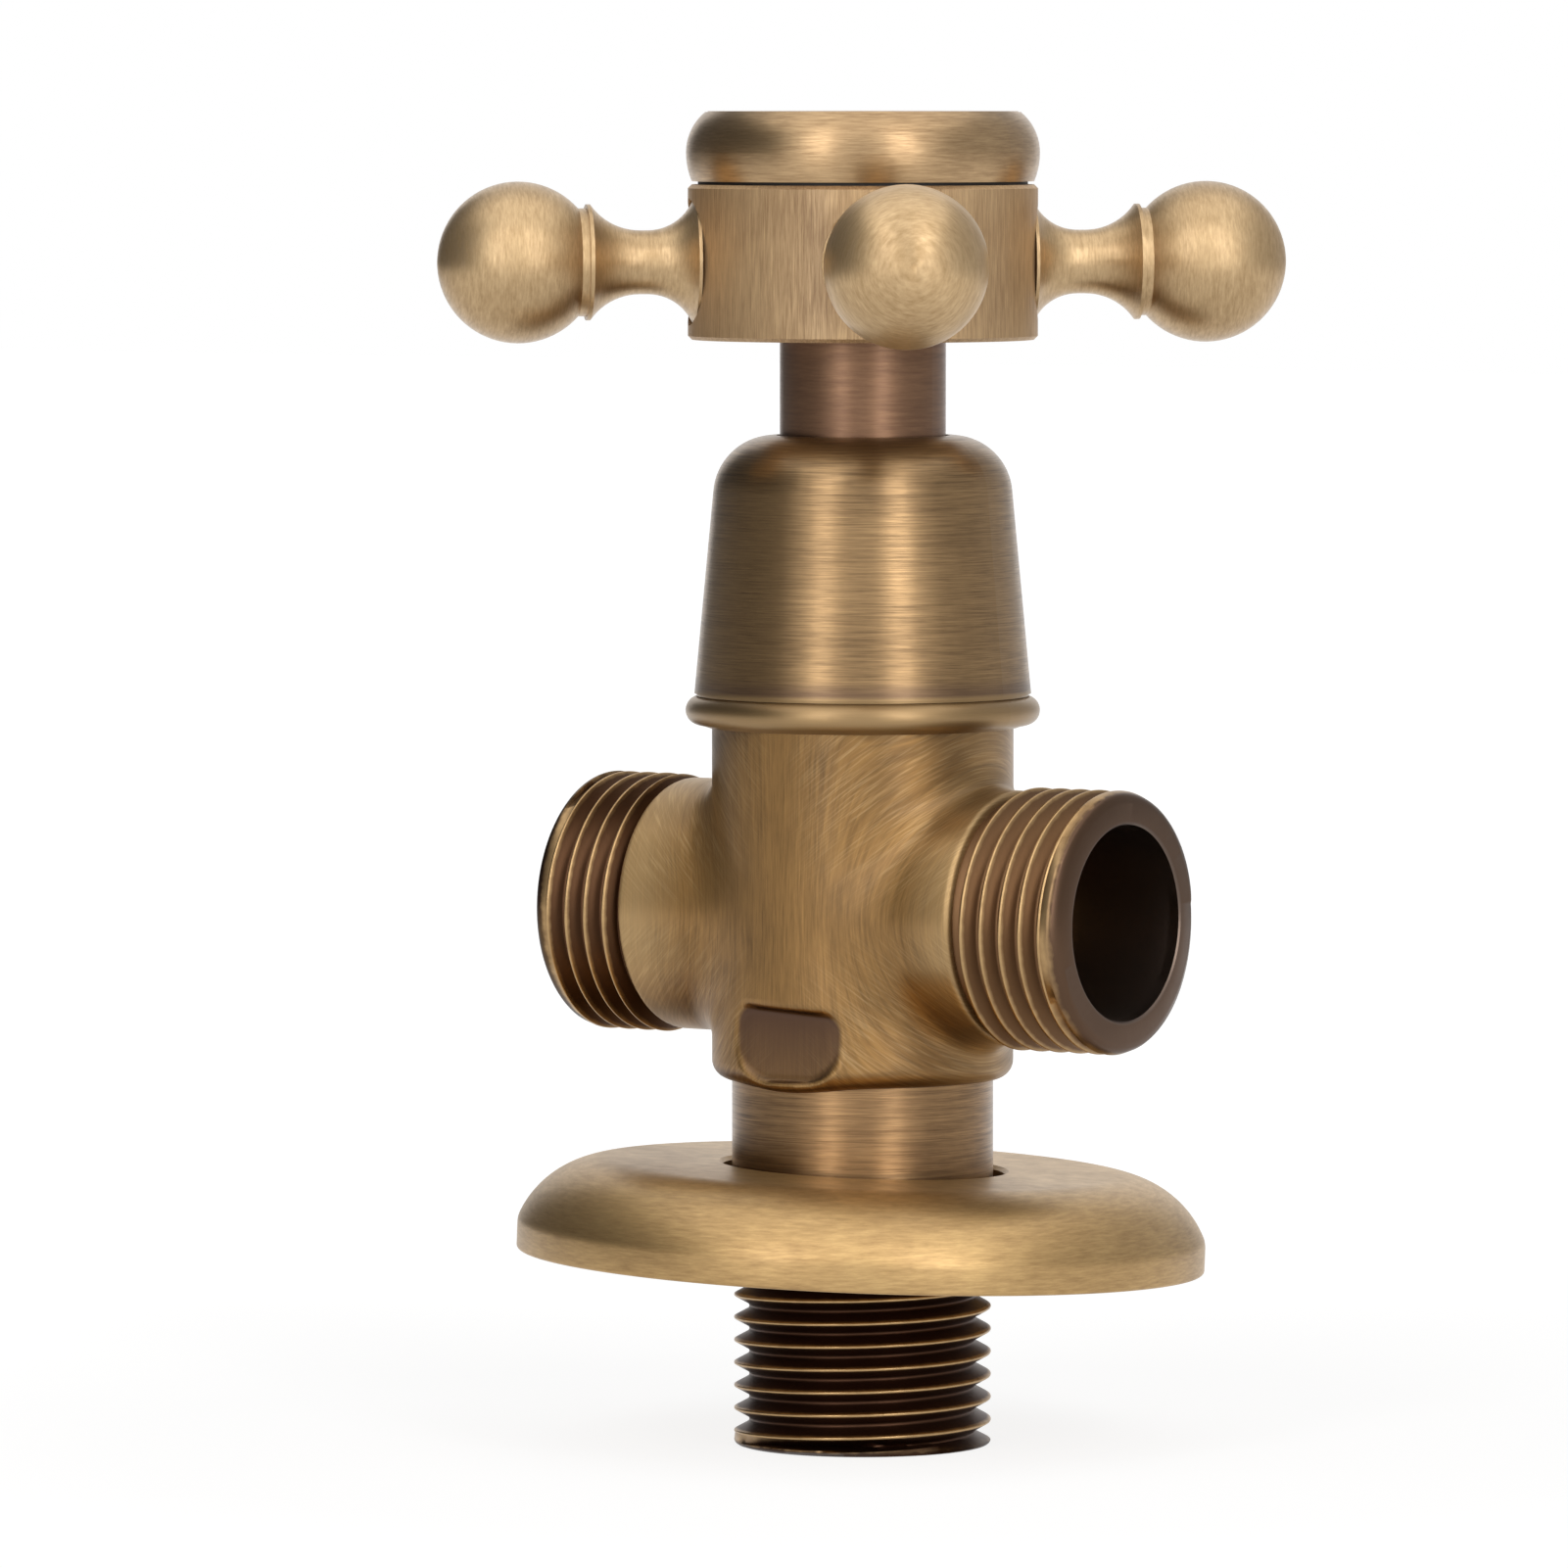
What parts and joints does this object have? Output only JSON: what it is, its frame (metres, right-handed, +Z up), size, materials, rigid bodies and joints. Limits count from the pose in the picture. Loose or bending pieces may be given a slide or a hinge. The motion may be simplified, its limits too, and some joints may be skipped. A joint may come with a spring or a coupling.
{
  "type": "angle valve",
  "caption": "Quarter-turn angle valve with a threaded inlet, opposed threaded outlets, bell bonnet, ball-ended cross handle and sliding wall plate, in antique brass.",
  "frame": {"origin": "centre of the inlet's end face, the lowest face of the valve", "axes": "+Z up along inlet and spindle, +X along the right outlet, Y completes the right-handed frame"},
  "size_m": [0.055, 0.055, 0.1062],
  "materials": {
    "antique_brass": "antiqued and brushed",
    "sleeve_brass": "antiqued, smooth",
    "plain_brass": "turned, bare",
    "ceramic": "lapped",
    "rubber": "moulded",
    "fibre": "pressed fibre",
    "ptfe": "turned",
    "steel": "plain"
  },
  "bodies": {
    "valve": {"valve_body": "antique_brass", "seat_seal": "rubber", "fixed_disc": "ceramic", "headpart_housing": "plain_brass", "headpart_gasket": "fibre", "bonnet": "antique_brass"},
    "handle": {"spindle": "plain_brass", "moving_disc": "ceramic", "thrust_ring": "ptfe", "spindle_o_ring_lower": "rubber", "spindle_o_ring_upper": "rubber", "stop_ring": "plain_brass", "spindle_clip": "steel", "handle_skirt": "sleeve_brass", "handle_hub": "antique_brass", "handle_arm_front": "antique_brass", "handle_arm_right": "antique_brass", "handle_arm_rear": "antique_brass", "handle_arm_left": "antique_brass", "handle_screw": "steel", "screw_washer": "steel", "cap_seal": "rubber", "index_cap": "antique_brass"},
    "plate_grip": {"grip_ring": "rubber"},
    "wall_plate": {"escutcheon": "antique_brass"}
  },
  "joints": [
    {"name": "handle_turn", "type": "hinge", "parent": "valve", "child": "handle", "pos_m": [0, 0, 0.09425], "axis": [0, 0, 1], "range_deg": [0, 90]},
    {"name": "plate_slide", "type": "slide", "parent": "valve", "child": "plate_grip", "axis": [0, 0, 1], "range_m": [-0.0147, 0.0063]},
    {"name": "plate_spin", "type": "hinge", "parent": "plate_grip", "child": "wall_plate", "pos_m": [0, 0, 0.01935], "axis": [0, 0, 1], "continuous": true}
  ]
}
